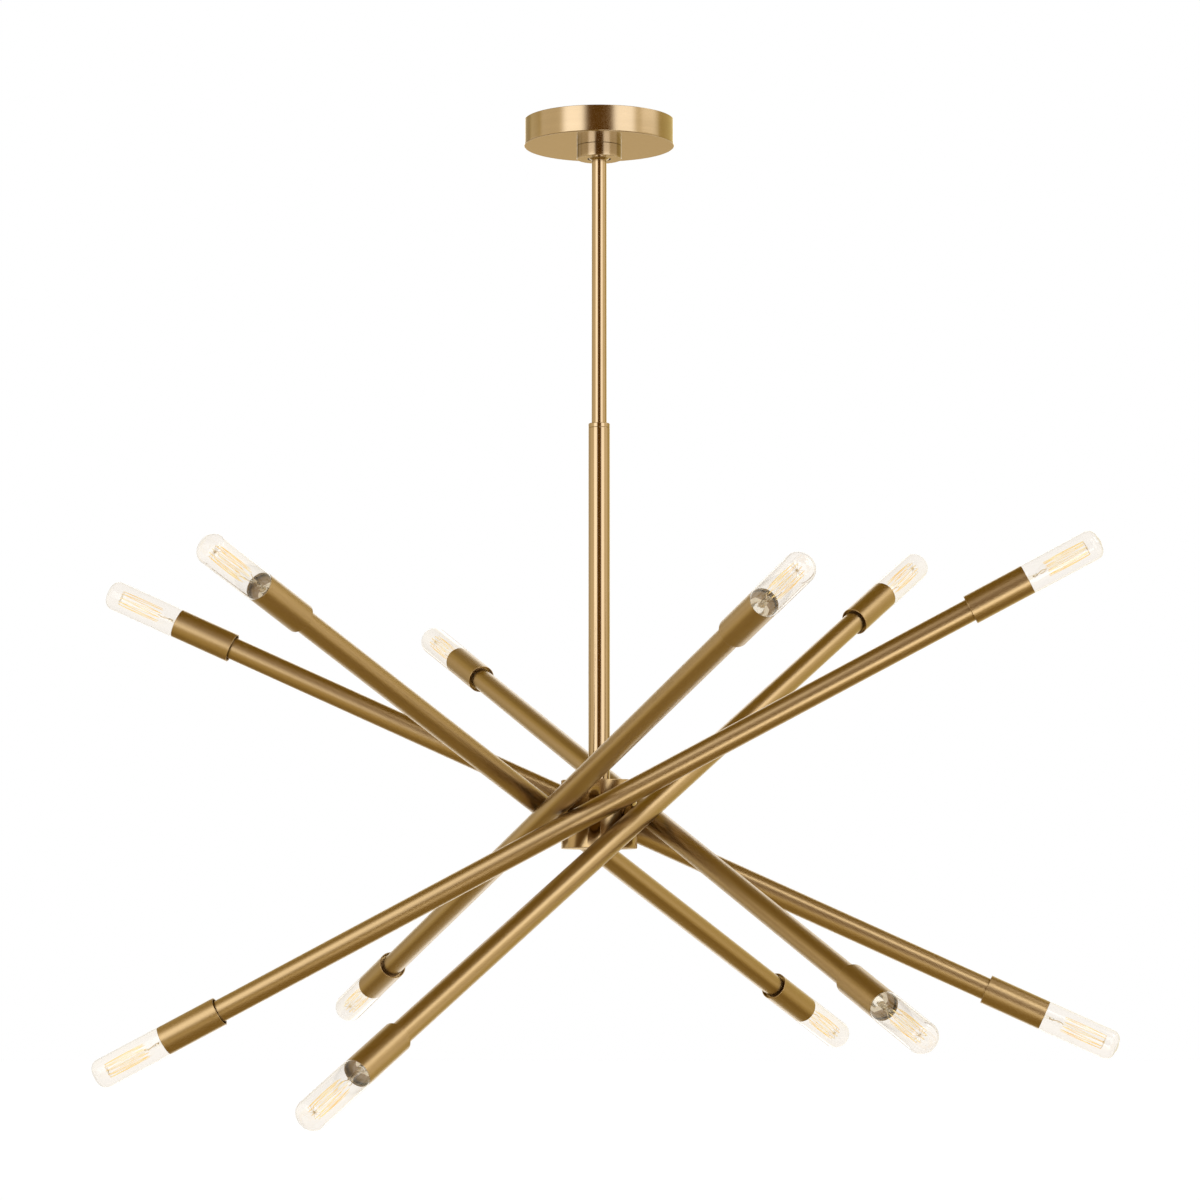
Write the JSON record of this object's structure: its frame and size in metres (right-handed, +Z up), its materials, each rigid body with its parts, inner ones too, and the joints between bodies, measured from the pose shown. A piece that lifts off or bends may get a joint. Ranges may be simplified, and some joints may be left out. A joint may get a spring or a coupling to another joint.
{
  "type": "sputnik chandelier",
  "caption": "Satin brass ceiling light: straight arms with a clear tubular lamp at each end turn on pivots round a drum hub that hangs on a stem from a round canopy.",
  "frame": {"origin": "centre of the mounting bar's slots, on the ceiling plane and on the canopy's axis", "axes": "+Z up, out of the ceiling side of the bar; +X to the right and -Y towards the viewer, as pictured"},
  "size_m": [0.8591, 0.8311, 0.8344],
  "materials": {
    "canopy_brass": "brushed, clear lacquered",
    "stem_brass": "satin, brushed lengthwise, clear lacquered",
    "arm_brass": "satin, brushed lengthwise, clear lacquered",
    "cup_brass": "satin, turned, clear lacquered",
    "hub_brass": "fine satin, brushed round the drum",
    "turned_brass": "as turned",
    "zinc_plated_steel": "zinc plated",
    "nylon": "moulded",
    "holder_plastic": "moulded",
    "lamp_cap_metal": "nickel plated",
    "lamp_glass": "clear",
    "lamp_filament": "glowing filament on a glass press"
  },
  "bodies": {
    "ceiling_plate": {"canopy": "canopy_brass", "canopy_collar": "canopy_brass", "mounting_bar": "zinc_plated_steel", "swivel_locknut": "zinc_plated_steel", "swivel_cap": "zinc_plated_steel", "swivel_barrel": "zinc_plated_steel"},
    "ball_seat": {"swivel_seat": "nylon"},
    "stem_and_hub": {"upper_rod": "stem_brass", "tube_cap": "stem_brass", "lower_tube": "stem_brass", "hub_body": "hub_brass", "hub_nipple": "zinc_plated_steel", "hub_locknut": "zinc_plated_steel", "hub_cover": "hub_brass", "hub_cover_screw": "turned_brass", "arm_pivots": "turned_brass"},
    "arm_1": {"arm_1_tube": "arm_brass", "arm_1_pivot_block": "turned_brass", "arm_1_cups": "cup_brass", "arm_1_lamp_holders": "holder_plastic", "arm_1_bulb_caps": "lamp_cap_metal", "arm_1_bulb_glass": "lamp_glass", "arm_1_lamp_mounts": "lamp_filament"},
    "arm_2": {"arm_2_tube": "arm_brass", "arm_2_pivot_block": "turned_brass", "arm_2_cups": "cup_brass", "arm_2_lamp_holders": "holder_plastic", "arm_2_bulb_caps": "lamp_cap_metal", "arm_2_bulb_glass": "lamp_glass", "arm_2_lamp_mounts": "lamp_filament"},
    "arm_3": {"arm_3_tube": "arm_brass", "arm_3_pivot_block": "turned_brass", "arm_3_cups": "cup_brass", "arm_3_lamp_holders": "holder_plastic", "arm_3_bulb_caps": "lamp_cap_metal", "arm_3_bulb_glass": "lamp_glass", "arm_3_lamp_mounts": "lamp_filament"},
    "arm_4": {"arm_4_tube": "arm_brass", "arm_4_pivot_block": "turned_brass", "arm_4_cups": "cup_brass", "arm_4_lamp_holders": "holder_plastic", "arm_4_bulb_caps": "lamp_cap_metal", "arm_4_bulb_glass": "lamp_glass", "arm_4_lamp_mounts": "lamp_filament"},
    "arm_5": {"arm_5_tube": "arm_brass", "arm_5_pivot_block": "turned_brass", "arm_5_cups": "cup_brass", "arm_5_lamp_holders": "holder_plastic", "arm_5_bulb_caps": "lamp_cap_metal", "arm_5_bulb_glass": "lamp_glass", "arm_5_lamp_mounts": "lamp_filament"},
    "arm_6": {"arm_6_tube": "arm_brass", "arm_6_pivot_block": "turned_brass", "arm_6_cups": "cup_brass", "arm_6_lamp_holders": "holder_plastic", "arm_6_bulb_caps": "lamp_cap_metal", "arm_6_bulb_glass": "lamp_glass", "arm_6_lamp_mounts": "lamp_filament"}
  },
  "joints": [
    {"name": "fixture_turn", "type": "hinge", "parent": "ceiling_plate", "child": "ball_seat", "pos_m": [0, 0, -0.0241], "axis": [0, 0, 1], "range_deg": [-170, 170]},
    {"name": "hang_tilt", "type": "hinge", "parent": "ball_seat", "child": "stem_and_hub", "pos_m": [0, 0, -0.0241], "axis": [1, 0, 0], "range_deg": [-15, 15]},
    {"name": "arm_1_swing", "type": "hinge", "parent": "stem_and_hub", "child": "arm_1", "pos_m": [0, 0, -0.58683], "axis": [-0.1305, -0.9914, 0], "range_deg": [-1.5, 62.3]},
    {"name": "arm_2_swing", "type": "hinge", "parent": "stem_and_hub", "child": "arm_2", "pos_m": [0, 0, -0.58683], "axis": [0.7771, -0.6293, 0], "range_deg": [-8, 59.4]},
    {"name": "arm_3_swing", "type": "hinge", "parent": "stem_and_hub", "child": "arm_3", "pos_m": [0, 0, -0.58683], "axis": [0.887, 0.4617, 0], "range_deg": [-0.5, 67.4]},
    {"name": "arm_4_swing", "type": "hinge", "parent": "stem_and_hub", "child": "arm_4", "pos_m": [0, 0, -0.58683], "axis": [0.0958, 0.9954, 0], "range_deg": [-0.5, 65.6]},
    {"name": "arm_5_swing", "type": "hinge", "parent": "stem_and_hub", "child": "arm_5", "pos_m": [0, 0, -0.58683], "axis": [-0.7934, 0.6088, 0], "range_deg": [-3, 65.7]},
    {"name": "arm_6_swing", "type": "hinge", "parent": "stem_and_hub", "child": "arm_6", "pos_m": [0, 0, -0.58683], "axis": [-0.8988, -0.4384, 0], "range_deg": [-1, 69]}
  ]
}
